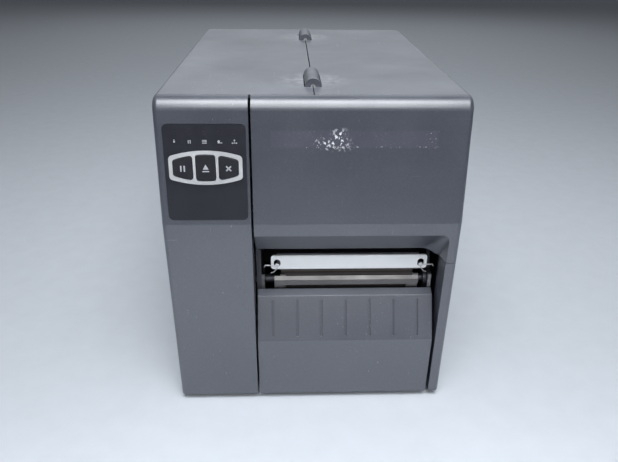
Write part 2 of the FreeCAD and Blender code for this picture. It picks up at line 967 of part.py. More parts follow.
def cross_beam():
    """Ties the outer side plate to the centre plate behind and under the platen, and carries the tear bar."""
    y0 = front + tear_back + tear_t + tear_shelf
    z1 = beam_top - beam_drop
    beam = box(plate_x, outer_plate_x, y0, y0 + beam_depth, z1 - beam_t, z1)
    lip = box(plate_x, outer_plate_x, y0, y0 + beam_lip_t, z1 - beam_lip_t, beam_top)
    return joined(beam, lip)


# Print mechanism
def platen_shaft():
    return rod_x(platen_shaft_r, plate_x - plate_t - motor_gap + shaft_end, outer_plate_x + outer_plate_t,
                 front + platen_back, platen_z)


def platen_rubber():
    y, z = front + platen_back, platen_z
    sleeve = rod_x(platen_r, platen_x0, platen_x0 + platen_len, y, z)
    return sleeve.cut(rod_x(platen_shaft_r, platen_x0 - over, platen_x0 + platen_len + over, y, z))


def platen_bearing():
    y, z = front + platen_back, platen_z
    x0 = outer_plate_x - bearing_t + outer_plate_t
    ring = rod_x(bearing_r, x0, outer_plate_x + outer_plate_t, y, z)
    return ring.cut(rod_x(platen_shaft_r + running, x0 - over, outer_plate_x + outer_plate_t + over, y, z))


def tear_bar():
    """A folded steel bar in front of the platen with a raised horn at each end."""
    x0, x1 = tear_x0, tear_x0 + tear_len
    y = front + tear_back
    bend_z, top_y = tear_z1 - tear_slope_h, y + tear_slope_d
    face = box(x0, x1, y, y + tear_t, tear_z0, bend_z)
    slope = prism_x([(y, bend_z), (top_y, tear_z1), (top_y + tear_t, tear_z1), (y + tear_t, bend_z)], x0, x1)
    shelf = box(x0, x1, y, y + tear_t + tear_shelf, tear_z0, tear_z0 + tear_t)
    horns = [
        box(x, x + tear_horn, top_y, top_y + tear_t, tear_z1, tear_z1 + tear_horn_h)
        for x in (x0 + tear_horn_in, x1 - tear_horn)
    ]
    y0, y1 = y + tear_t, y + tear_t + tear_shelf
    brackets = [
        box(x, x + tear_bracket_w, y0, y1, beam_top - beam_drop, tear_z0 + tear_t)
        for x in (x0, x1 - tear_bracket_w)
    ]
    return joined(face, slope, shelf, *horns, *brackets)


def head_pivot_shaft():
    return rod_x(pivot_r, plate_x, outer_plate_x, front + pivot_back, pivot_z)


def head_carriage():
    """The swinging frame that carries the print head: top plate, two cheeks and a front flange."""
    x0, x1 = head_x0, head_x0 + head_len
    y0, y1 = front + head_front, front + pivot_back + pivot_boss
    top = box(x0, x1, y0, y1, head_top - head_t, head_top)
    flange = box(x0, x1, y0, y0 + head_t, head_plate_z0 - flange_drop, head_top)
    cheek_face = [
        (y0, head_plate_z0 - flange_drop),
        (y0, head_top),
        (front + pivot_back - cheek_top_in, pivot_z + cheek_rise),
        (y1, pivot_z + cheek_rise),
        (y1, pivot_z - cheek_rise),
        (front + pivot_back - cheek_low_in, head_plate_z0 + cheek_low_rise),
    ]
    cheeks = [prism_x(cheek_face, x, x + head_t) for x in (x0, x1 - head_t)]
    made = joined(top, flange, *cheeks)
    return made.cut(rod_x(pivot_r + running, -far, far, front + pivot_back, pivot_z))


def strip_z0():
    return platen_z + platen_r + media_t


def print_head_strip():
    x0, x1 = head_x0 + head_t + near, head_x0 + head_len - head_t - near
    y0, y1 = front + head_front + head_t + near, front + platen_back + strip_back
    return box(x0, x1, y0, y1, strip_z0(), strip_z0() + strip_t)


def head_heatsink():
    z0 = strip_z0() + strip_t
    x0, x1 = head_x0 + head_t + near, head_x0 + head_len - head_t - near
    y0, y1 = front + head_front + head_t + near, front + platen_back + sink_back
    block = box(x0, x1, y0, y1, z0, head_top - head_t)
    for i in range(sink_slots):
        y = y0 + (i + 1) * sink_pitch
        block = block.cut(box(x0 + sink_end, x1 - sink_end, y, y + sink_slot_w, z0 + sink_floor, head_top))
    return block


def head_front_plate():
    """The pale plate across the front of the head, with an eye at each end for its screw."""
    plate = rounded_plate(head_plate_len, head_plate_h, head_plate_r, head_plate_t)
    for side in (-1, 1):
        x = side * (head_plate_len / 2 - head_eye_in)
        eye = obround(2 * head_eye_r, 2 * head_eye_r + head_eye_rise, 3 * head_plate_t)
        eye.translate(Vector(x, -head_eye_drop, -head_plate_t))
        plate = plate.cut(eye)
    return front_facing(plate)


def front_facing(shape):
    """Stands a flat local shape upright on the front of the head flange."""
    moved = shape.copy()
    middle = Vector(head_plate_x0 + head_plate_len / 2, front + head_front, head_plate_z0 + head_plate_h / 2)
    moved.Placement = Placement(middle, Rotation(Vector(1, 0, 0), 90))
    return moved


def head_plate_screws():
    made = []
    for side in (-1, 1):
        x = side * (head_plate_len / 2 - head_eye_in)
        y = -head_eye_drop - head_eye_rise / 2 - head_screw_drop
        head = Part.makeCylinder(head_screw_r, head_plate_t + head_screw_proud, Vector(x, y, 0))
        socket = Part.makeCylinder(head_socket_r, head_screw_proud + over, Vector(x, y, head_plate_t))
        made.append(front_facing(head.cut(socket)))
    return made


def head_wires():
    """A bent retaining wire at each end of the pale plate, hooked round its screw."""
    made = []
    for side in (-1, 1):
        x = side * (head_plate_len / 2 - head_eye_in)
        screw_y = -head_eye_drop - head_eye_rise / 2 - head_screw_drop
        z = head_plate_t + head_wire_r + head_wire_gap
        clear = head_screw_r + head_wire_r
        hook = [Vector(x, screw_y - clear, z)]
        hook += [Vector(x + side * dx, screw_y - clear + dy, z) for dx, dy in head_hook]
        arm = [Vector(x + side * clear, screw_y, z)]
        arm += [Vector(x + side * dx, screw_y + dy, z) for dx, dy in head_arm]
        made += [front_facing(bent_wire(hook)), front_facing(bent_wire(arm))]
    return made


def bent_wire(route):
    """A round wire along straight runs with ball corners."""
    pieces = [Part.makeSphere(head_wire_r, point) for point in route]
    pieces += [Part.makeCylinder(head_wire_r, (b - a).Length, a, b - a) for a, b in zip(route, route[1:])]
    return joined(*pieces)


def lever_shaft():
    return rod_x(lever_shaft_r, plate_x - plate_t, outer_plate_x + outer_plate_t + lever_gap + lever_t,
                 front + lever_back, lever_z)


def pressure_toggles():
    y, z = front + lever_back, lever_z
    made = []
    for x in (head_x0 + toggle_in, head_x0 + head_len - toggle_in - toggle_w):
        arm = box(x, x + toggle_w, y - toggle_half, y + toggle_half, z - toggle_len, z)
        tip = rod_x(toggle_half, x, x + toggle_w, y, z - toggle_len)
        hub = rod_x(toggle_hub_r, x, x + toggle_w, y, z)
        made.append(joined(arm, tip, hub).cut(rod_x(lever_shaft_r, x - over, x + toggle_w + over, y, z)))
    return made


def head_lever():
    """The hand lever on the outer end of the toggle shaft."""
    x0 = outer_plate_x + outer_plate_t + lever_gap
    x1 = x0 + lever_t
    y, z = front + lever_back, lever_z
    hub = rod_x(lever_hub_r, x0, x1, y, z)
    arm = box(x0, x1, y - lever_len, y, z - lever_half, z + lever_half)
    tip = rod_x(lever_tip_r, x0, x1, y - lever_len, z)
    return joined(hub, arm, tip).cut(rod_x(lever_shaft_r, x0 - over, x1 + over, y, z))


# Ribbon spindles
def spindle(distance, z):
    """A ribbon spindle: core, base flange and three spring blades let into its surface."""
    y = front + distance
    x0 = plate_x + spindle_gap
    core = rod_x(spindle_r, x0, x0 + spindle_len, y, z)
    flange = rod_x(spindle_flange_r, x0, x0 + spindle_flange_t, y, z)
    shaft = rod_x(spindle_shaft_r, plate_x - plate_t - spindle_shaft_end, x0, y, z)
    made = joined(core, flange, shaft)
    for i in range(spring_count):
        slot = box(x0 + spring_start, x0 + spindle_len - spring_end, y - spring_w / 2, y + spring_w / 2,
                   z + spindle_r - spring_depth, z + spindle_r + over)
        slot.rotate(Vector(0, y, z), Vector(1, 0, 0), i * 360.0 / spring_count)
        made = made.cut(slot)
    nose = [e for e in made.Edges if abs(e.BoundBox.XMin - x0 - spindle_len) < tiny]
    return made.makeChamfer(spindle_chamfer, nose)


# Label supply
def media_hanger():
    """A cantilever arm for the label roll with an upturned stop rail under it."""
    y, z = front + hanger_back, hanger_z
    arm = box(plate_x, plate_x + hanger_len, y - hanger_w / 2, y + hanger_w / 2, z - hanger_h, z)
    top_edges = [e for e in arm.Edges if e.CenterOfMass.z > z - tiny]
    long_edges = [e for e in top_edges if abs(e.tangentAt(e.FirstParameter).x) > mostly]
    arm = arm.makeFillet(hanger_r, long_edges)
    reach = hanger_w / 2 + hanger_foot_side
    foot = box(plate_x, plate_x + hanger_foot_t, y - reach, y + reach, z - hanger_h - hanger_foot_low,
               z + hanger_foot_high)
    return joined(arm, foot)


def media_guide():
    """The plate that slides along the hanger arm to hold the roll against the frame."""
    y, z = front + hanger_back, hanger_z
    x0 = plate_x + guide_at
    y0, y1 = y - guide_half, y + guide_half
    plate = box(x0, x0 + guide_t, y0, y1, z - hanger_h - guide_low, z + guide_rise)
    collar = box(x0, x0 + collar_len, y0, y1, z - hanger_h - collar_wall, z + collar_wall)
    gap = media_guide_gap
    hole = box(x0 - over, x0 + collar_len + over, y - hanger_w / 2 - gap, y + hanger_w / 2 + gap,
               z - hanger_h - gap, z + gap)
    return joined(plate, collar).cut(hole)


def dancer_arm():
    """The swinging arm that keeps the label web tight: hub, arm and roller pin."""
    y, z = front + dancer_back, dancer_z
    x0 = plate_x + dancer_gap
    x1 = x0 + dancer_w
    hub = rod_x(dancer_hub_r, x0, x1, y, z)
    arm = box(x0, x1, y - dancer_arm_len, y, z - dancer_half, z + dancer_half)
    boss = rod_x(dancer_boss_r, x0, x1, y - dancer_arm_len, z)
    pin = rod_x(dancer_roll_pin_r, x0, x1 + dancer_roll_len + dancer_pin_end, y - dancer_arm_len, z)
    stub = rod_x(dancer_pin_r, plate_x - plate_t, x0, y, z)
    return joined(hub, arm, boss, pin, stub)


def dancer_roller():
    y, z = front + dancer_back - dancer_arm_len, dancer_z
    x0 = plate_x + 2 * dancer_gap + dancer_w
    tube = rod_x(dancer_roll_r, x0, x0 + dancer_roll_len, y, z)
    return tube.cut(rod_x(dancer_roll_pin_r + running, x0 - over, x0 + dancer_roll_len + over, y, z))


def guide_rail():
    return rod_x(edge_rail_r, plate_x, outer_plate_x, front + edge_rail_back, edge_rail_z)


def edge_guide():
    """The small guide that slides on the rail to the label's outer edge."""
    y, z = front + edge_rail_back, edge_rail_z
    x0 = plate_x + edge_guide_at
    half = edge_guide_half
    block = box(x0, x0 + edge_guide_len, y - half, y + half, z - half, z + half)
    fin = box(x0, x0 + edge_fin_t, y - half, y + edge_fin_back, z - edge_fin_low, z + edge_fin_high)
    return joined(block, fin).cut(rod_x(edge_rail_r + running, x0 - over, x0 + edge_guide_len + over, y, z))


def media_sensor():
    """A forked gap sensor on the rail side of the platen, fixed to the centre plate."""
    y0, z = front + platen_back + sensor_back, platen_z
    x1, y1 = plate_x + sensor_len, y0 + sensor_d
    lower = box(plate_x, x1, y0, y1, z - sensor_low, z + sensor_slot_low)
    upper = box(plate_x, x1, y0, y1, z + sensor_slot_high, z + sensor_top)
    spine = box(plate_x, plate_x + sensor_spine, y0, y1, z - sensor_low, z + sensor_top)
    return joined(lower, upper, spine)


# Drive
def drive_x():
    """Start of the pulley plane, on the electronics side of the centre plate."""
    return plate_x - plate_t - motor_gap + (motor_gap - pulley_w) / 2


def pulley(radius, bore, distance, z):
    """A belt pulley with a flange on both sides of the belt track."""
    y, x0 = front + distance, drive_x()
    side = (pulley_w - belt_w) / 2 - near / 2
    track = rod_x(radius, x0, x0 + pulley_w, y, z)
    flanges = [rod_x(radius + pulley_flange, x, x + side, y, z) for x in (x0, x0 + pulley_w - side)]
    return joined(track, *flanges).cut(rod_x(bore, x0 - over, x0 + pulley_w + over, y, z))


def drive_belt():
    """The toothed belt's outline: two arcs round the pulleys and the two tangent runs."""
    x0 = drive_x() + (pulley_w - belt_w) / 2
    ends = [(front + motor_back, motor_z, motor_pulley_r), (front + platen_back, platen_z, platen_pulley_r)]

    def loop(lift, start, width):
        (ya, za, ra), (yb, zb, rb) = [(y, z, r + lift) for y, z, r in ends]
        gap = math.hypot(yb - ya, zb - za)
        turn = math.atan2(zb - za, yb - ya)
        spread = math.acos((ra - rb) / gap)
        corners = []
        for y, z, r in ((ya, za, ra), (yb, zb, rb)):
            for sign in (1, -1):
                a = turn + sign * spread
                corners.append((y + r * math.cos(a), z + r * math.sin(a)))
        strip = prism_x([corners[0], corners[2], corners[3], corners[1]], start, start + width)
        discs = [rod_x(r, start, start + width, y, z) for y, z, r in ((ya, za, ra), (yb, zb, rb))]
        return joined(strip, *discs)

    return loop(belt_t + running, x0, belt_w).cut(loop(running, x0 - over, belt_w + 2 * over))


def stepper_motor():
    y, z = front + motor_back, motor_z
    x1 = plate_x - plate_t - motor_gap
    half = motor_side / 2
    body = box(x1 - motor_len, x1, y - half, y + half, z - half, z + half)
    long_edges = [e for e in body.Edges if abs(e.tangentAt(e.FirstParameter).x) > mostly]
    body = body.makeFillet(motor_r, long_edges)
    return body.cut(rod_x(motor_shaft_r + running, x1 - motor_len - over, x1 + over, y, z))


def motor_shaft():
    x1 = plate_x - plate_t - motor_gap
    return rod_x(motor_shaft_r, x1 - motor_len + motor_cap, drive_x() + pulley_w, front + motor_back, motor_z)


def motor_standoffs():
    x1 = plate_x - plate_t - motor_gap
    reach = motor_side / 2 - standoff_in
    return [
        rod_x(standoff_r, x1, plate_x - plate_t, front + motor_back + sy * reach, motor_z + sz * reach)
        for sy in (-1, 1)
        for sz in (-1, 1)
    ]


# Electronics
def main_board():
    y0 = front + board_back
    return box(board_x - board_t, board_x, y0, back - board_rear, board_z0, board_z0 + board_h)


def board_parts():
    """Tall parts on the main board: a finned heat sink, capacitors and a processor."""
    x1 = board_x - board_t
    y0 = front + board_back
    made = []
    for i in range(cap_count):
        made.append(rod_x(cap_r, x1 - cap_h, x1, y0 + cap_first + i * cap_pitch, board_z0 + cap_rise))
    cooler_y0, cooler_z0 = y0 + cooler_y, board_z0 + cooler_z
    base_x = x1 - cooler_base
    base = box(base_x, x1, cooler_y0, cooler_y0 + cooler_len, cooler_z0, cooler_z0 + cooler_h)
    fins = []
    for i in range(cooler_fins):
        y = cooler_y0 + i * (cooler_len - cooler_fin_t) / (cooler_fins - 1)
        fins.append(box(base_x - cooler_fin_h, base_x, y, y + cooler_fin_t, cooler_z0, cooler_z0 + cooler_h))
    made.append(joined(base, *fins))
    chip_y0, chip_z0 = y0 + chip_y, board_z0 + chip_z
    made.append(box(x1 - chip_t, x1, chip_y0, chip_y0 + chip_side, chip_z0, chip_z0 + chip_side))
    return made


def board_standoffs():
    y0, y1 = front + board_back + board_hole_in, back - board_rear - board_hole_in
    z0, z1 = board_z0 + board_hole_in, board_z0 + board_h - board_hole_in
    return [rod_x(standoff_r, board_x, plate_x - plate_t, y, z) for y in (y0, y1) for z in (z0, z1)]


def power_supply():
    y0 = back - supply_box_rear - supply_box_len
    x0, x1 = supply_box_x0, supply_box_x0 + supply_box_w
    top = base_top + supply_box_h
    case = box(x0, x1, y0, y0 + supply_box_len, base_top, top)
    for i in range(vent_count):
        y = y0 + (i + 1) * vent_pitch
        case = case.cut(box(x0 + vent_end, x1 - vent_end, y, y + vent_w, top - vent_depth, top + over))
    return case


def ac_inlet():
    """A three-pole mains inlet with its shroud and blades."""
    width, height = inlet_w - 2 * inlet_wall, inlet_h - 2 * inlet_wall
    mouth = socket_block(inlet_x, inlet_z, width, height, inlet_mouth, -over)
    places = ((-blade_spread, -blade_offset), (blade_spread, -blade_offset), (0.0, blade_offset))
    blades = [
        socket_block(inlet_x + dx, inlet_z + dz, blade_w, blade_t, inlet_mouth + over, blade_in)
        for dx, dz in places
    ]
    body = socket_block(inlet_x, inlet_z, inlet_w, inlet_h, inlet_depth, socket_recess)
    return joined(body.cut(mouth), *blades)


def switch_frame():
    frame = socket_block(inlet_x, rocker_z, inlet_w, switch_h, switch_depth, socket_recess)
    width, height = inlet_w - 2 * switch_wall, switch_h - 2 * switch_wall
    return frame.cut(socket_block(inlet_x, rocker_z, width, height, switch_mouth, -over))


def power_rocker():
    """The rocker of the mains switch, stored with its lower end pressed in."""
    half = inlet_w / 2 - switch_wall - rocker_gap
    x0, x1 = inlet_x - half, inlet_x + half
    y = back - rocker_in
    face = [
        (y - rocker_back, rocker_z + rocker_high),
        (y + rocker_high_out, rocker_z + rocker_high),
        (y + rocker_mid_out, rocker_z),
        (y + rocker_low_out, rocker_z - rocker_low),
        (y - rocker_back, rocker_z - rocker_low),
    ]
    hub = rod_x(rocker_hub_r, x0, x1, y - rocker_back, rocker_z)
    return joined(prism_x(face, x0, x1), hub)


def port(width, height, z):
    """A data socket: an open shell with a tongue standing in it."""
    mouth = socket_block(port_x, z, width - 2 * port_wall, height - 2 * port_wall, port_mouth, -over)
    tongue = socket_block(port_x, z, width / 2, height / 2, port_mouth + over, tongue_in)
    body = socket_block(port_x, z, width, height, port_depth, port_recess)
    return joined(body.cut(mouth), tongue)


def main():
    save("control_bezel", control_bezel())
    save("door_front", door_front())
    save("door_top", door_top())
    save("door_side", door_side())
    save("door_window", door_window())
    save("electronics_cover", electronics_cover())
    save("rear_cover", rear_cover())
    save("side_skirt", side_skirt())
    save("front_cover", front_cover())
    save("rear_panel", rear_panel())
    save("panel_overlay", panel_overlay())
    save("button_ring", button_ring())
    for index, name in enumerate(("button_pause", "button_feed", "button_cancel")):
        save(name, button(index))
    save("indicator_lenses", *indicator_lenses())
    save("control_board", control_board())
    save("hinge_base_knuckles", *hinge_base_knuckles())
    save("hinge_door_knuckles", *hinge_door_knuckles())
    save("hinge_pins", *hinge_pins())
    save("fold_pin", fold_pin())
    save("base_pan", base_pan())
    save("rubber_feet", *rubber_feet())
    save("center_plate", center_plate())
    save("print_side_plate", print_side_plate())
    save("inner_side_plate", inner_side_plate())
    save("cross_beam", cross_beam())
    save("platen_shaft", platen_shaft())
    save("platen_rubber", platen_rubber())
    save("platen_bearing", platen_bearing())
    save("tear_bar", tear_bar())
    save("head_pivot_shaft", head_pivot_shaft())
    save("head_carriage", head_carriage())
    save("print_head_strip", print_head_strip())
    save("head_heatsink", head_heatsink())
    save("head_front_plate", head_front_plate())
    save("head_plate_screws", *head_plate_screws())
    save("head_wires", *head_wires())
    save("lever_shaft", lever_shaft())
    save("pressure_toggles", *pressure_toggles())
    save("head_lever", head_lever())
    save("ribbon_takeup_spindle", spindle(takeup_back, takeup_z))
    save("ribbon_supply_spindle", spindle(supply_back, supply_z))
    save("media_hanger", media_hanger())
    save("media_guide", media_guide())
    save("dancer_arm", dancer_arm())
    save("dancer_roller", dancer_roller())
    save("guide_rail", guide_rail())
    save("edge_guide", edge_guide())
    save("media_sensor", media_sensor())
    save("motor_pulley", pulley(motor_pulley_r, motor_shaft_r, motor_back, motor_z))
    save("platen_pulley", pulley(platen_pulley_r, platen_shaft_r, platen_back, platen_z))
    save("drive_belt", drive_belt())
    save("stepper_motor", stepper_motor(), *motor_standoffs())
    save("motor_shaft", motor_shaft())
    save("main_board", main_board(), *board_parts(), *board_standoffs())
    save("power_supply", power_supply())
    save("ac_inlet", ac_inlet(), switch_frame())
    save("power_rocker", power_rocker())
    save("data_ports", *[port(*size) for size in ports])


main()
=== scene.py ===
# %% [markdown]
# A desktop label printer, dressed for its portrait.
#
# The solids come from the construction model, already at their real size and place.
# This lesson gives them their finishes, adds the small printed and moulded details,
# and sets up the camera, the floor and the studio light.

# %% Load the construction model
import bpy
import math
from mathutils import Matrix, Vector


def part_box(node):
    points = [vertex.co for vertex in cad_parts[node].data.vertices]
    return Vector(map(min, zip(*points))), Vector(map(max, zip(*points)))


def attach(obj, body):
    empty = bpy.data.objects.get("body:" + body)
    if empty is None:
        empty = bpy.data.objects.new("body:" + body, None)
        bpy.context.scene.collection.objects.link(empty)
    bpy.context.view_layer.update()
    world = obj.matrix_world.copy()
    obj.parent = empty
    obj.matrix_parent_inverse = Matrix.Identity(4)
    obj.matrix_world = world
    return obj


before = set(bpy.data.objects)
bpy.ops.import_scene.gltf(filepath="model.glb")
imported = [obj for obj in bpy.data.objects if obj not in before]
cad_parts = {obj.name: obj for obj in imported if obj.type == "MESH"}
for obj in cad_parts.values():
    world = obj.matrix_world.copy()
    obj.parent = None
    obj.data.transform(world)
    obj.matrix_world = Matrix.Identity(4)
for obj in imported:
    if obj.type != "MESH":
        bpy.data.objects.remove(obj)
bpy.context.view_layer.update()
bpy.ops.object.select_all(action="DESELECT")
scene = bpy.context.scene
scene.view_settings.view_transform = "Standard"

# %% [markdown]
# The camera is the photographer's place, found from the outline of the body.
# It stands a little to the left of the middle, above the top, and looks down at the front.
# The lens is written as a focal length in pixels, because that is how it was measured.

# %% Camera
PHOTO_WIDTH_PX = 618
FOCAL_PX = 571.0
CAMERA_AT = Vector((-0.0192, -0.6184, 0.3872))
CAMERA_YAW = math.radians(2.22)
CAMERA_PITCH = math.radians(27.65)
CAMERA_ROLL = math.radians(0.69)

ahead = Vector((
    math.sin(CAMERA_YAW) * math.cos(CAMERA_PITCH),
    math.cos(CAMERA_YAW) * math.cos(CAMERA_PITCH),
    -math.sin(CAMERA_PITCH),
))
level_right = Vector((math.cos(CAMERA_YAW), -math.sin(CAMERA_YAW), 0.0))
level_up = level_right.cross(ahead)
tilt_right = level_right * math.cos(CAMERA_ROLL) + level_up * math.sin(CAMERA_ROLL)
tilt_up = level_up * math.cos(CAMERA_ROLL) - level_right * math.sin(CAMERA_ROLL)

bpy.ops.object.camera_add(location=CAMERA_AT)
camera = bpy.context.object
camera.name = "portrait_camera"
camera.rotation_euler = Matrix((tilt_right, tilt_up, -ahead)).transposed().to_euler()
camera.data.sensor_fit = "HORIZONTAL"
camera.data.sensor_width = 36.0
camera.data.lens = FOCAL_PX / PHOTO_WIDTH_PX * camera.data.sensor_width
camera.data.clip_start = 0.01
scene.camera = camera
print("lens:", round(camera.data.lens, 2), "mm")

# %% [markdown]
# Every finish starts from the same few nodes, so they get short helpers.
# Patterns read Object coordinates: each piece sits at the origin with its place in its mesh,
# so one pattern runs across the seams, as it would on a machine that aged in one place.

# %% Helpers for finishes
MIDDLE = (0.3, 0.7)  # where most of a noise's values lie


def new_finish(name):
    """An empty node material with its shader and the object's coordinates."""
    finish = bpy.data.materials.new(name)
    finish.use_nodes = True
    nodes = finish.node_tree.nodes
    shader = nodes["Principled BSDF"]
    place = nodes.new("ShaderNodeTexCoord").outputs["Object"]
    return finish, shader, place


def add_node(finish, kind, **inputs):
    """Adds a node; an input that is a socket is linked, and any other value is set."""
    node = finish.node_tree.nodes.new(kind)
    for key, value in inputs.items():
        socket = node.inputs[key.replace("_", " ")]
        if isinstance(value, bpy.types.NodeSocket):
            finish.node_tree.links.new(value, socket)
        else:
            socket.default_value = value
    return node


def link(finish, output, socket):
    finish.node_tree.links.new(output, socket)


def noise(finish, place, scale, detail=3.0, stretch=None, turn=0.0):
    """Noise on the object's coordinates, stretched and turned when it stands for strokes."""
    if stretch:
        turned = add_node(finish, "ShaderNodeMapping", Vector=place, Scale=stretch,
                          Rotation=(0, 0, turn))
        place = turned.outputs["Vector"]
    pattern = add_node(finish, "ShaderNodeTexNoise", Vector=place, Scale=scale, Detail=detail)
    return pattern.outputs["Fac"]


def between(finish, value, low, high, low_out=0.0, high_out=1.0):
    """Maps a value's range from low to high onto another range, and holds it there at both ends."""
    node = add_node(finish, "ShaderNodeMapRange", Value=value)
    node.inputs["From Min"].default_value = low
    node.inputs["From Max"].default_value = high
    node.inputs["To Min"].default_value = low_out
    node.inputs["To Max"].default_value = high_out
    return node.outputs["Result"]


def times(finish, a, b):
    node = add_node(finish, "ShaderNodeMath")
    node.operation = "MULTIPLY"
    for socket, value in zip(node.inputs, (a, b)):
        if isinstance(value, bpy.types.NodeSocket):
            link(finish, value, socket)
        else:
            socket.default_value = value
    return node.outputs[0]


def plus(finish, a, b):
    node = add_node(finish, "ShaderNodeMath")
    node.operation = "ADD"
    link(finish, a, node.inputs[0])
    link(finish, b, node.inputs[1])
    node.use_clamp = True
    return node.outputs[0]


def mix_colours(finish, share, first, second):
    node = finish.node_tree.nodes.new("ShaderNodeMix")
    node.data_type = "RGBA"
    link(finish, share, node.inputs[0])
    for socket, value in zip((node.inputs[6], node.inputs[7]), (first, second)):
        if isinstance(value, bpy.types.NodeSocket):
            link(finish, value, socket)
        else:
            socket.default_value = value
    return node.outputs[2]


def shade(colour, factor):
    return tuple(min(1.0, c * factor) for c in colour[:3]) + (1.0,)


# %% [markdown]
# The housing is one moulding compound throughout: a dark blue-grey with a fine spark-eroded grain.
# Years on a packing bench have left dust on what faces up, hair scratches, and chalky scuffs; the
# pale dust on what faces up also serves as painted sheen that lightens the top.
# Each is a mask made from noise that changes the colour a little.
# The gloss drifts by a noise of its own.

# %% Housing plastic
HOUSING = (0.038, 0.042, 0.059)
# The pale dust colour; on what faces up it also stands for painted sheen.
DUST_AND_SHEEN = (0.40, 0.43, 0.48)
SCUFF = (0.55, 0.56, 0.58)
HINGE_HALF = 0.0215
RUB_REACH = (0.034, 0.016)  # where the rubbing beside a hinge starts and where it is full
GLOSS = (0.31, 0.38)
SHINE_INDEX = 1.68
EDGE_ROUND = 0.0005
GRAIN_DEPTH = 0.0003
# Dust and painted sheen begin on faces whose upward normal is at least this high.
LYING_FROM = 0.55  # an upward normal's height at which dust begins to stay


def near_hinges(finish, place):
    """One beside the hinge barrels, where hands and dirt gather, fading to zero."""
    low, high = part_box("hinge_base_knuckles")
    share = None
    for y in (low.y + HINGE_HALF, high.y - HINGE_HALF):
        gap = add_node(finish, "ShaderNodeVectorMath")
        gap.operation = "DISTANCE"
        link(finish, place, gap.inputs[0])
        gap.inputs[1].default_value = (0.0, y, high.z)
        here = between(finish, gap.outputs["Value"], *RUB_REACH)
        share = here if share is None else plus(finish, share, here)
    return share


def housing_plastic(name, dust_and_sheen=0.34, scuffs=0.5, rub=0.45):
    finish, shader, place = new_finish(name)
    cloud = noise(finish, place, 9.0, 5.0)
    drift = between(finish, cloud, *MIDDLE)
    colour = mix_colours(finish, drift, shade(HOUSING, 0.90), shade(HOUSING, 1.12))
    sparkle = between(finish, noise(finish, place, 1100.0, 3.0), 0.45, 0.75, 0.0, 0.07)
    colour = mix_colours(finish, sparkle, colour, shade(DUST_AND_SHEEN, 1.0))

    normal = finish.node_tree.nodes.new("ShaderNodeNewGeometry").outputs["Normal"]
    upward = add_node(finish, "ShaderNodeSeparateXYZ", Vector=normal).outputs["Z"]
    lying = between(finish, upward, LYING_FROM, 1.0)
    patches = between(finish, noise(finish, place, 14.0, 7.0), 0.28, 0.72, 0.40, 1.0)
    # Dust in patches on what faces up, which is also painted sheen that makes the top lighter.
    dust_and_sheen_mask = times(finish, times(finish, lying, patches), dust_and_sheen)
    colour = mix_colours(finish, dust_and_sheen_mask, colour, shade(DUST_AND_SHEEN, 1.0))
    rub_spots = between(finish, noise(finish, place, 160.0, 6.0), 0.35, 0.7)
    rubbed = times(finish, near_hinges(finish, place), rub_spots)
    colour = mix_colours(finish, times(finish, rubbed, rub), colour, shade(SCUFF, 1.0))

    along = between(finish, noise(finish, place, 3.0, 2.0, (160.0, 5.0, 60.0), 0.35), 0.735, 0.76)
    across = between(finish, noise(finish, place, 3.0, 2.0, (6.0, 140.0, 150.0), -0.5), 0.745, 0.77)
    chalk = between(finish, noise(finish, place, 420.0, 6.0), 0.66, 0.72)
    where = between(finish, noise(finish, place, 7.0, 3.0), 0.55, 0.68)
    marks = plus(finish, times(finish, plus(finish, along, across), 0.5),
                 times(finish, chalk, where))
    colour = mix_colours(finish, times(finish, marks, scuffs), colour, shade(SCUFF, 1.0))
    link(finish, colour, shader.inputs["Base Color"])

    gloss = between(finish, noise(finish, place, 30.0, 5.0), *MIDDLE, *GLOSS)
    link(finish, gloss, shader.inputs["Roughness"])
    shader.inputs["Specular IOR Level"].default_value = 1.0
    shader.inputs["IOR"].default_value = SHINE_INDEX

    rounded = add_node(finish, "ShaderNodeBevel", Radius=EDGE_ROUND)
    rounded.samples = 4
    grain = noise(finish, place, 1500.0, 2.0)
    bump = add_node(finish, "ShaderNodeBump", Height=grain, Strength=0.12, Distance=GRAIN_DEPTH,
                    Normal=rounded.outputs["Normal"])
    link(finish, bump.outputs["Normal"], shader.inputs["Normal"])
    return finish


housing = housing_plastic("housing_plastic")
hinge_plastic = housing_plastic("hinge_plastic", dust_and_sheen=0.25, scuffs=0.2, rub=0.0)
print("made", housing.name, "and", hinge_plastic.name)

# %% [markdown]
# The door's front once carried a strip of tape. What is left is a faint stain the size of
# the strip, with white paper fibre near its lower left, specks at its right end and a thin
# torn rim below.
# All are painted inside box masks on the same plastic, so nothing stands proud of the door.

# %% Door front with tape residue
TAPE_LOW = Vector((-0.011, 0.0, 0.2430))
TAPE_HIGH = Vector((0.0935, 0.0, 0.2557))
TAPE_STAIN = (0.066, 0.066, 0.092)
TAPE_TORN = 0.0055
FILM_LEFT = -0.0326
FILM_EDGE = 0.0008
WORST_LEFT, WORST_RIGHT, WORST_EDGE = 0.001, 0.026, 0.0035
CLUMP_LEFT, CLUMP_RIGHT, CLUMP_EDGE = 0.014, 0.023, 0.003
END_LEFT, END_EDGE = 0.086, 0.002
RIM_TALL, RIM_EDGE = 0.0008, 0.0004
SPECKS = 0.10  # how far specks also lie on the rest of the strip
PAPER = (0.92, 0.93, 0.94, 1.0)


def box_mask(finish, place, low, high, soft):
    """One inside a rectangle in X and Z, and zero outside it, with a soft edge."""
    parts = add_node(finish, "ShaderNodeSeparateXYZ", Vector=place)
    sides = []
    for axis, a, b in (("X", low.x, high.x), ("Z", low.z, high.z)):
        value = parts.outputs[axis]
        sides.append(between(finish, value, a - soft, a + soft))
        sides.append(between(finish, value, b + soft, b - soft))
    mask = sides[0]
    for side in sides[1:]:
        mask = times(finish, mask, side)
    return mask


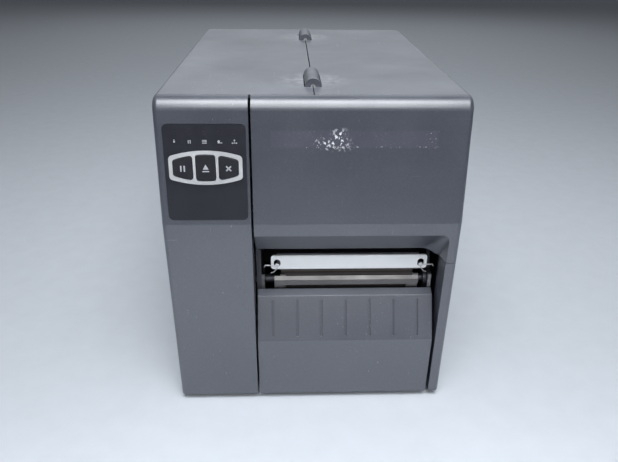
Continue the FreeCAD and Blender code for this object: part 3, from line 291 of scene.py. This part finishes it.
def taped_plastic(name):
    finish = housing_plastic(name, scuffs=0.12)
    tree = finish.node_tree
    shader = tree.nodes["Principled BSDF"]
    place = tree.nodes["Texture Coordinate"].outputs["Object"]
    plain = shader.inputs["Base Color"].links[0].from_socket
    low, high, middle = TAPE_LOW.z, TAPE_HIGH.z, TAPE_LOW.z + TAPE_TORN

    def strip(left, right, bottom, top, edge):
        return box_mask(finish, place, Vector((left, 0.0, bottom)), Vector((right, 0.0, top)), edge)

    mask = strip(FILM_LEFT, TAPE_HIGH.x, low, high, FILM_EDGE)
    film = times(finish, mask,
                 between(finish, noise(finish, place, 60.0, 5.0), *MIDDLE, 0.55, 0.85))
    colour = mix_colours(finish, film, plain, shade(TAPE_STAIN, 1.0))
    worst = strip(WORST_LEFT, WORST_RIGHT, low, middle, WORST_EDGE)
    clump = strip(CLUMP_LEFT, CLUMP_RIGHT, middle, high, CLUMP_EDGE)
    right_end = strip(END_LEFT, TAPE_HIGH.x, low, high, END_EDGE)
    rim = strip(TAPE_LOW.x, TAPE_HIGH.x, low, low + RIM_TALL, RIM_EDGE)
    torn = plus(finish, plus(finish, worst, clump), plus(finish, right_end, rim))
    thick = between(finish, noise(finish, place, 520.0, 9.0, (1.0, 1.0, 0.8)), 0.56, 0.59)
    thin = between(finish, noise(finish, place, 900.0, 6.0), 0.63, 0.70)
    heavy = times(finish, plus(finish, worst, clump), thick)
    light = times(finish, plus(finish, torn, times(finish, mask, SPECKS)), thin)
    colour = mix_colours(finish, plus(finish, heavy, light), colour, PAPER)
    link(finish, colour, shader.inputs["Base Color"])
    return finish


door_front_plastic = taped_plastic("door_front_plastic")
print("made", door_front_plastic.name)

# %% [markdown]
# Smaller mouldings, films and rubbers share one recipe with other numbers:
# a colour that drifts a little, a roughness that drifts a little, and a fine grain.


# %% Plain mouldings, films and rubbers
def moulding(name, colour, roughness, grain_scale=900.0, grain=0.10, drift=0.12, specular=0.5):
    finish, shader, place = new_finish(name)
    cloud = between(finish, noise(finish, place, 45.0, 4.0), *MIDDLE)
    tone = mix_colours(finish, cloud, shade(colour, 1.0 - drift), shade(colour, 1.0 + drift))
    link(finish, tone, shader.inputs["Base Color"])
    patches = noise(finish, place, 120.0, 3.0)
    gloss = between(finish, patches, *MIDDLE, roughness - 0.05, roughness + 0.07)
    link(finish, gloss, shader.inputs["Roughness"])
    shader.inputs["Specular IOR Level"].default_value = specular
    skin = noise(finish, place, grain_scale, 2.0)
    bump = add_node(finish, "ShaderNodeBump", Height=skin, Strength=grain, Distance=GRAIN_DEPTH)
    link(finish, bump.outputs["Normal"], shader.inputs["Normal"])
    return finish


panel_film = moulding("panel_film", (0.020, 0.020, 0.027), 0.34, 2200.0, 0.06)
ring_print = moulding("ring_print", (0.52, 0.52, 0.525), 0.45, 2200.0, 0.05)
key_rubber = moulding("key_rubber", (0.014, 0.014, 0.019), 0.42)
mark_print = moulding("mark_print", (0.46, 0.46, 0.48), 0.5, 2200.0, 0.03)
lamp_tint = moulding("lamp_tint", (0.023, 0.023, 0.030), 0.32, 600.0, 0.03)
# The inner plastic is near black: partly its own colour, partly painted shade of the printer's
# inside.
inner_plastic = moulding("inner_plastic", (0.022, 0.022, 0.026), 0.5)
pale_plastic = moulding("pale_plastic", (0.96, 0.96, 0.955), 0.40, 700.0, 0.05, 0.02)
platen_finish = moulding("platen_rubber", (0.055, 0.046, 0.042), 0.62, 1800.0, 0.2)
foot_rubber = moulding("foot_rubber", (0.025, 0.025, 0.027), 0.75, 1200.0, 0.25)
board_mask = moulding("board_mask", (0.020, 0.095, 0.050), 0.35, 500.0, 0.05)
pan_paint = moulding("pan_paint", (0.030, 0.030, 0.033), 0.55, 1100.0, 0.2)
glaze = moulding("glaze", (0.19, 0.17, 0.15), 0.2, 300.0, 0.02)
print("made the plain finishes")

# %% [markdown]
# Bright steel and cast metal show their making: fine strokes along the bar on rolled steel,
# and a pebbled skin on castings. Both are metallic shaders with the strokes in the bump.


# %% Metals
STROKE_DEPTH = 0.0002
ALONG_X = (12.0, 260.0, 260.0)
PEBBLED = (120.0, 120.0, 120.0)
FINE_PEBBLED = (140.0, 140.0, 140.0)
# The frame colour is a dark coat, made darker still as painted shade of the recess inside.
FRAME_COAT_AND_SHADE = (0.09, 0.09, 0.10)
BARE_METAL = (0.38, 0.38, 0.38, 1.0)
NOSE_DEPTHS = (0.003, 0.001)  # behind the plate's front: where wear starts and where it is full
NOSE_HEIGHTS = (0.085, 0.100)


def metal(name, colour, roughness, stretch, strength):
    finish, shader, place = new_finish(name)
    strokes = noise(finish, place, 6.0, 4.0, stretch)
    drift = between(finish, strokes, *MIDDLE)
    tone = mix_colours(finish, drift, shade(colour, 0.86), shade(colour, 1.06))
    link(finish, tone, shader.inputs["Base Color"])
    shader.inputs["Metallic"].default_value = 1.0
    patches = noise(finish, place, 60.0, 4.0)
    gloss = between(finish, patches, *MIDDLE, roughness - 0.06, roughness + 0.10)
    link(finish, gloss, shader.inputs["Roughness"])
    bump = add_node(finish, "ShaderNodeBump", Height=strokes, Strength=strength,
                    Distance=STROKE_DEPTH)
    link(finish, bump.outputs["Normal"], shader.inputs["Normal"])
    return finish


# This steel is made dark as painted reflection and shade of the dark recess around the tear bar.
bar_steel_with_painted_reflection = metal("bar_steel_with_painted_reflection", (0.145, 0.137, 0.133), 0.34, ALONG_X, 0.15)
bright_steel = metal("bright_steel", (0.66, 0.66, 0.65), 0.28, ALONG_X, 0.15)
cast_metal = metal("cast_metal", (0.30, 0.30, 0.32), 0.48, PEBBLED, 0.25)
dark_frame = metal("dark_frame", FRAME_COAT_AND_SHADE, 0.5, FINE_PEBBLED, 0.2)


def worn_edge_frame(name):
    """The dark side plate, rubbed back to bright metal on the nose that the labels pass."""
    finish = metal(name, FRAME_COAT_AND_SHADE, 0.5, FINE_PEBBLED, 0.2)
    nodes = finish.node_tree.nodes
    base = nodes["Principled BSDF"].inputs["Base Color"]
    place = nodes["Texture Coordinate"].outputs["Object"]
    parts = add_node(finish, "ShaderNodeSeparateXYZ", Vector=place)
    plate_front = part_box("print_side_plate")[0].y
    start, full = (plate_front + depth for depth in NOSE_DEPTHS)
    nose = times(finish, between(finish, parts.outputs["Y"], start, full),
                 between(finish, parts.outputs["Z"], *NOSE_HEIGHTS))
    coated = base.links[0].from_socket
    link(finish, mix_colours(finish, nose, coated, BARE_METAL), base)
    return finish


worn_frame = worn_edge_frame("worn_frame")
print("made the metals")

# %% [markdown]
# The window in the side leaf is smoked clear plastic: mostly transmission, with a dark tint
# and fine handling marks in the gloss.

# %% Smoked window
smoke, smoke_shader, smoke_place = new_finish("smoked_window")
smoke_tone = mix_colours(smoke, between(smoke, noise(smoke, smoke_place, 20.0), *MIDDLE),
                         (0.10, 0.105, 0.11, 1.0), (0.14, 0.145, 0.15, 1.0))
link(smoke, smoke_tone, smoke_shader.inputs["Base Color"])
smoke_shader.inputs["Transmission Weight"].default_value = 0.75
smoke_shader.inputs["IOR"].default_value = 1.49
smoke_gloss = between(smoke, noise(smoke, smoke_place, 70.0, 6.0), 0.4, 0.8, 0.06, 0.22)
link(smoke, smoke_gloss, smoke_shader.inputs["Roughness"])

# %% [markdown]
# Now each solid of the construction model gets its finish by name.

# %% Dress the solids
FINISHES = {
    housing: ["control_bezel", "door_top", "door_side", "electronics_cover", "rear_cover",
              "side_skirt", "front_cover", "rear_panel"],
    hinge_plastic: ["hinge_base_knuckles", "hinge_door_knuckles"],
    door_front_plastic: ["door_front"],
    smoke: ["door_window"],
    panel_film: ["panel_overlay"],
    ring_print: ["button_ring"],
    key_rubber: ["button_pause", "button_feed", "button_cancel", "power_rocker"],
    lamp_tint: ["indicator_lenses"],
    board_mask: ["control_board", "main_board"],
    bright_steel: ["hinge_pins", "fold_pin", "head_pivot_shaft", "head_plate_screws", "head_wires",
                   "lever_shaft", "guide_rail", "motor_shaft", "power_supply"],
    bar_steel_with_painted_reflection: ["tear_bar", "inner_side_plate"],
    cast_metal: ["head_heatsink", "platen_pulley", "motor_pulley", "stepper_motor"],
    dark_frame: ["center_plate", "cross_beam", "head_carriage", "platen_shaft", "platen_bearing"],
    worn_frame: ["print_side_plate"],
    pan_paint: ["base_pan"],
    foot_rubber: ["rubber_feet", "drive_belt"],
    platen_finish: ["platen_rubber"],
    pale_plastic: ["head_front_plate"],
    glaze: ["print_head_strip"],
    inner_plastic: ["pressure_toggles", "head_lever", "ribbon_takeup_spindle",
                    "ribbon_supply_spindle", "media_hanger", "media_guide", "dancer_arm",
                    "dancer_roller", "edge_guide", "media_sensor", "ac_inlet", "data_ports"],
}
for finish, names in FINISHES.items():
    for name in names:
        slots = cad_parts[name].data.materials
        slots.clear()
        slots.append(finish)
print("dressed", sum(len(names) for names in FINISHES.values()), "solids")

# %% [markdown]
# The control panel leans back, so its small marks are made flat at the origin and then stood
# on the face.
# The face's slope is worked out from the overlay's own box: its rise and its run.

# %% The panel's leaning plane
FILM_THICK = 0.0009
MARK_THICK = 0.00016
MARK_EDGE = MARK_THICK * 0.3
MARK_LIFT = MARK_THICK * 0.45
SMOOTH_BELOW = math.radians(35)
overlay_low, overlay_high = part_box("panel_overlay")
lean = math.atan2(overlay_high.y - overlay_low.y - FILM_THICK, overlay_high.z - overlay_low.z)


def only(*pieces):
    """Selects these pieces alone, the last one active."""
    bpy.ops.object.select_all(action="DESELECT")
    for piece in pieces:
        piece.select_set(True)
        bpy.context.view_layer.objects.active = piece


def stand_on(piece, node, x, z, lift):
    """Turns a flat piece upright, leans it back and lays it on a node's face at x and z."""
    low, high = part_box(node)
    middle = (low + high) / 2
    out = Vector((0.0, -math.cos(lean), math.sin(lean)))
    depth = max((v.co - middle).dot(out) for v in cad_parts[node].data.vertices)
    y = middle.y + ((z - middle.z) * math.sin(lean) - depth) / math.cos(lean)
    piece.rotation_euler = (math.pi / 2 - lean, 0.0, 0.0)
    piece.location = Vector((x, y, z)) + out * lift
    only(piece)
    bpy.ops.object.transform_apply(location=True, rotation=True, scale=True)


def bevelled(piece, width, segments=2):
    bevel = piece.modifiers.new("edge", "BEVEL")
    bevel.width = width
    bevel.segments = segments
    only(piece)
    bpy.ops.object.modifier_apply(modifier=bevel.name)
    bpy.ops.object.shade_smooth_by_angle(angle=SMOOTH_BELOW)


def bar(size, at=(0.0, 0.0), turn=0.0):
    """A flat bar of a printed mark, with softened corners."""
    bpy.ops.object.select_all(action="DESELECT")
    bpy.ops.mesh.primitive_cube_add(size=1.0, location=(at[0], at[1], 0.0),
                                    rotation=(0.0, 0.0, turn))
    piece = bpy.context.object
    piece.scale = (size[0], size[1], MARK_THICK)
    bpy.ops.object.transform_apply(location=True, rotation=True, scale=True)
    bevelled(piece, MARK_EDGE)
    return piece


def disc(radius, at=(0.0, 0.0), sides=20):
    """A round printed dot, or an arrow's head when it has three sides."""
    bpy.ops.object.select_all(action="DESELECT")
    bpy.ops.mesh.primitive_cylinder_add(vertices=sides, radius=radius, depth=MARK_THICK,
                                        location=(at[0], at[1], 0.0))
    piece = bpy.context.object
    bpy.ops.object.transform_apply(location=True, rotation=True, scale=True)
    bevelled(piece, MARK_EDGE)
    return piece


def joined(name, *pieces):
    only(*pieces)
    bpy.ops.object.join()
    piece = bpy.context.object
    piece.name = name
    return piece


# %% [markdown]
# The keys carry plain pictures: two bars for pause, an arrow over a line for feed, and a cross
# for cancel.
# Each is a thin raised print, so it catches the light as thick ink does.

# %% Key marks
STROKE = 0.0011
PAUSE_TALL, PAUSE_OUT = 0.0046, 0.0013
FEED_WIDE, FEED_DROP = 0.0050, 0.0022
ARROW_R, ARROW_RISE = 0.0026, 0.0006
CROSS_LONG = 0.0052

pause_mark = joined("pause_mark", bar((STROKE, PAUSE_TALL), (-PAUSE_OUT, 0.0)),
                    bar((STROKE, PAUSE_TALL), (PAUSE_OUT, 0.0)))
feed_mark = joined("feed_mark", bar((FEED_WIDE, STROKE * 0.8), (0.0, -FEED_DROP)),
                   disc(ARROW_R, (0.0, ARROW_RISE), sides=3))
cancel_mark = joined("cancel_mark", bar((STROKE, CROSS_LONG), turn=math.pi / 4),
                     bar((STROKE, CROSS_LONG), turn=-math.pi / 4))
for mark, node, body in ((pause_mark, "button_pause", "pause_key"),
                         (feed_mark, "button_feed", "feed_key"),
                         (cancel_mark, "button_cancel", "cancel_key")):
    centre = sum(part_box(node), Vector()) / 2
    stand_on(mark, node, centre.x, centre.z, MARK_LIFT)
    mark.data.materials.append(mark_print)
    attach(mark, body)
print("marked the keys")

# %% [markdown]
# Under each lamp a small picture says what it reports: power, pause, data, supplies and network.
# They are built from the same bars and from round dots, and printed thin on the film.

# %% Lamp marks
FINE = 0.00052
PICTURE_TALL, PICTURE_WIDE = 0.0026, 0.0034
POWER_DOT, SUPPLY_DOT, NETWORK_DOT = 0.0007, 0.0009, 0.00055
SUPPLY_DOT_AT, SUPPLY_LINE_AT = (-0.0005, 0.0002), (0.0004, -0.0009)
MARKS_BELOW = 0.0050


def lamp_marks():
    """The five pictures, from left to right."""
    tall, wide = PICTURE_TALL, PICTURE_WIDE
    return [
        [disc(POWER_DOT), bar((FINE, tall * 0.5), (0.0, tall * 0.5))],
        [bar((FINE * 1.3, tall), (-FINE * 1.4, 0.0)), bar((FINE * 1.3, tall), (FINE * 1.4, 0.0))],
        [bar((wide, FINE), (0.0, rise * tall * 0.4)) for rise in (-1, 0, 1)],
        [disc(SUPPLY_DOT, SUPPLY_DOT_AT), bar((wide, FINE), SUPPLY_LINE_AT)],
        [disc(NETWORK_DOT, (0.0, tall * 0.4)), disc(NETWORK_DOT, (-wide * 0.45, -tall * 0.4)),
         disc(NETWORK_DOT, (wide * 0.45, -tall * 0.4)),
         bar((wide * 0.9, FINE * 0.7), (0.0, -tall * 0.4)), bar((FINE * 0.7, tall * 0.8))],
    ]


lens_low, lens_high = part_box("indicator_lenses")
lens_wide = lens_high.z - lens_low.z
first_lamp = lens_low.x + lens_wide / 2
pictures = lamp_marks()
lamp_step = (lens_high.x - lens_low.x - lens_wide) / (len(pictures) - 1)
for number, shapes in enumerate(pictures):
    mark = joined(f"lamp_mark_{number}", *shapes)
    lamp_x = first_lamp + number * lamp_step
    stand_on(mark, "panel_overlay", lamp_x, lens_low.z - MARKS_BELOW, MARK_LIFT)
    mark.data.materials.append(mark_print)
    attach(mark, "chassis")
print("marked the lamps")

# %% [markdown]
# The covers at the back are held by cross-head screws, sunk until their faces lie flush.
# One is modelled from a cylinder: its rim is bevelled and a cross is cut into its face by two bars.
# Then it is copied to each place, every copy with its own mesh, and the pattern is thrown away.

# %% Cover screws
SCREW_R = 0.0034
SCREW_HALF = 0.0006  # half of a head's thickness
SCREW_LOW, SCREW_HIGH, SCREW_SIDE = 0.020, 0.186, 0.160
PANEL_LEFT_IN, PANEL_RIGHT_IN = 0.010, 0.006
COVER_LEFT_IN, COVER_LOW_IN, COVER_SIDE_IN = 0.012, 0.020, 0.014
back_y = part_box("rear_panel")[1].y
left_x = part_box("rear_panel")[0].x
split_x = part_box("rear_panel")[1].x
right_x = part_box("rear_cover")[1].x


def screw_head():
    """One screw head at the origin, its cross facing the back."""
    bpy.ops.object.select_all(action="DESELECT")
    bpy.ops.mesh.primitive_cylinder_add(vertices=32, radius=SCREW_R, depth=SCREW_HALF * 2)
    head = bpy.context.object
    bevelled(head, SCREW_HALF * 0.5, 3)
    for turn in (0.0, math.pi / 2):
        bpy.ops.mesh.primitive_cube_add(size=1.0, location=(0, 0, SCREW_HALF),
                                        rotation=(0, 0, turn))
        cutter = bpy.context.object
        cutter.scale = (SCREW_R * 1.2, SCREW_R * 0.28, SCREW_HALF)
        bpy.ops.object.transform_apply(location=True, rotation=True, scale=True)
        cut = head.modifiers.new("cross", "BOOLEAN")
        cut.operation = "DIFFERENCE"
        cut.object = cutter
        only(head)
        bpy.ops.object.modifier_apply(modifier=cut.name)
        bpy.data.objects.remove(cutter)
    head.rotation_euler = (-math.pi / 2, 0.0, 0.0)
    bpy.ops.object.transform_apply(location=True, rotation=True, scale=True)
    head.data.materials.append(bright_steel)
    return head


screw_places = [
    (left_x + PANEL_LEFT_IN, SCREW_LOW), (left_x + PANEL_LEFT_IN, SCREW_HIGH),
    (split_x - PANEL_RIGHT_IN, SCREW_LOW), (split_x - PANEL_RIGHT_IN, SCREW_HIGH),
    (split_x + COVER_LEFT_IN, SCREW_LOW), (split_x + COVER_LEFT_IN, SCREW_HIGH),
    (right_x - COVER_LOW_IN, SCREW_LOW), (right_x - COVER_SIDE_IN, SCREW_SIDE),
]
pattern_screw = screw_head()
for number, (x, z) in enumerate(screw_places):
    only(pattern_screw)
    bpy.ops.object.duplicate()
    head = bpy.context.object
    head.name = f"cover_screw_{number}"
    head.location = (x, back_y - SCREW_HALF, z)
    bpy.ops.object.transform_apply(location=True, rotation=True, scale=True)
    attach(head, "chassis")
bpy.data.objects.remove(pattern_screw)
print("placed", len(screw_places), "cover screws")

# %% [markdown]
# A pale floor carries the shadow, and soft lamps with a cool tint stand in for a bright room.
# The one overhead, a little in front, draws the broad highlight along the rounded front edge.
# The one behind skims along the top, and a weak one behind the camera opens the label exit.
# The last lights the floor in front: the upright faces mirror that floor, so they look paler
# than the leaning one.
# The world is a pale band round the horizon, dark above.

# %% Floor, lamps and world
FLOOR_SIDE = 60.0
FLOOR_COLOUR = (0.62, 0.65, 0.69)
COOL = (0.92, 0.955, 1.0)
HORIZON = 0.45
DARK_FROM = 0.8  # the height of a view's direction above which the world is dark
SKY = (0.84, 0.89, 0.96, 1.0)

bpy.ops.object.select_all(action="DESELECT")
bpy.ops.mesh.primitive_plane_add(size=FLOOR_SIDE, location=(0.0, 0.0, 0.0))
floor = bpy.context.object
floor.name = "studio_floor"
floor_finish = moulding("floor_paper", FLOOR_COLOUR, 0.8, 300.0, 0.02, 0.02, 0.2)
floor.data.materials.append(floor_finish)


def soft_lamp(name, at, aim, size, watts, spread=180.0):
    """A rectangular lamp turned to its aim; its light fans out over a spread in degrees."""
    bpy.ops.object.light_add(type="AREA", location=at)
    lamp = bpy.context.object
    lamp.name = name
    lamp.data.shape = "RECTANGLE"
    lamp.data.size, lamp.data.size_y = size
    lamp.data.energy = watts
    lamp.data.color = COOL
    lamp.data.spread = math.radians(spread)
    lamp.rotation_euler = (Vector(aim) - Vector(at)).to_track_quat("-Z", "Y").to_euler()
    return lamp


soft_lamp("overhead_lamp", (0.05, -0.74, 1.55), (0.05, -0.22, 0.27), (1.3, 0.9), 8.4, 100.0)
soft_lamp("back_lamp", (0.1, 2.0, 1.6), (0.0, 0.0, 0.25), (2.4, 1.8), 10.0)
soft_lamp("front_lamp", (0.1, -1.6, 1.3), (0.0, -0.1, 0.2), (1.2, 0.8), 1.7, 60.0)
floor_lamp = soft_lamp("floor_lamp", (0.0, -0.50, 0.80), (0.0, -0.50, 0.0), (0.70, 0.20), 0.62,
                       50.0)
floor_lamp.visible_camera = False

world = bpy.data.worlds.new("studio_world")
world.use_nodes = True
sky = world.node_tree.nodes
sky_look = sky.new("ShaderNodeTexCoord")
sky_parts = sky.new("ShaderNodeSeparateXYZ")
sky_rise = sky.new("ShaderNodeMapRange")
sky_rise.inputs["From Min"].default_value = 0.0
sky_rise.inputs["From Max"].default_value = DARK_FROM
sky_rise.inputs["To Min"].default_value = HORIZON
sky_rise.inputs["To Max"].default_value = 0.0
world.node_tree.links.new(sky_look.outputs["Generated"], sky_parts.inputs["Vector"])
world.node_tree.links.new(sky_parts.outputs["Z"], sky_rise.inputs["Value"])
world.node_tree.links.new(sky_rise.outputs["Result"], sky["Background"].inputs["Strength"])
sky["Background"].inputs["Color"].default_value = SKY
scene.world = world
print("lit the scene")
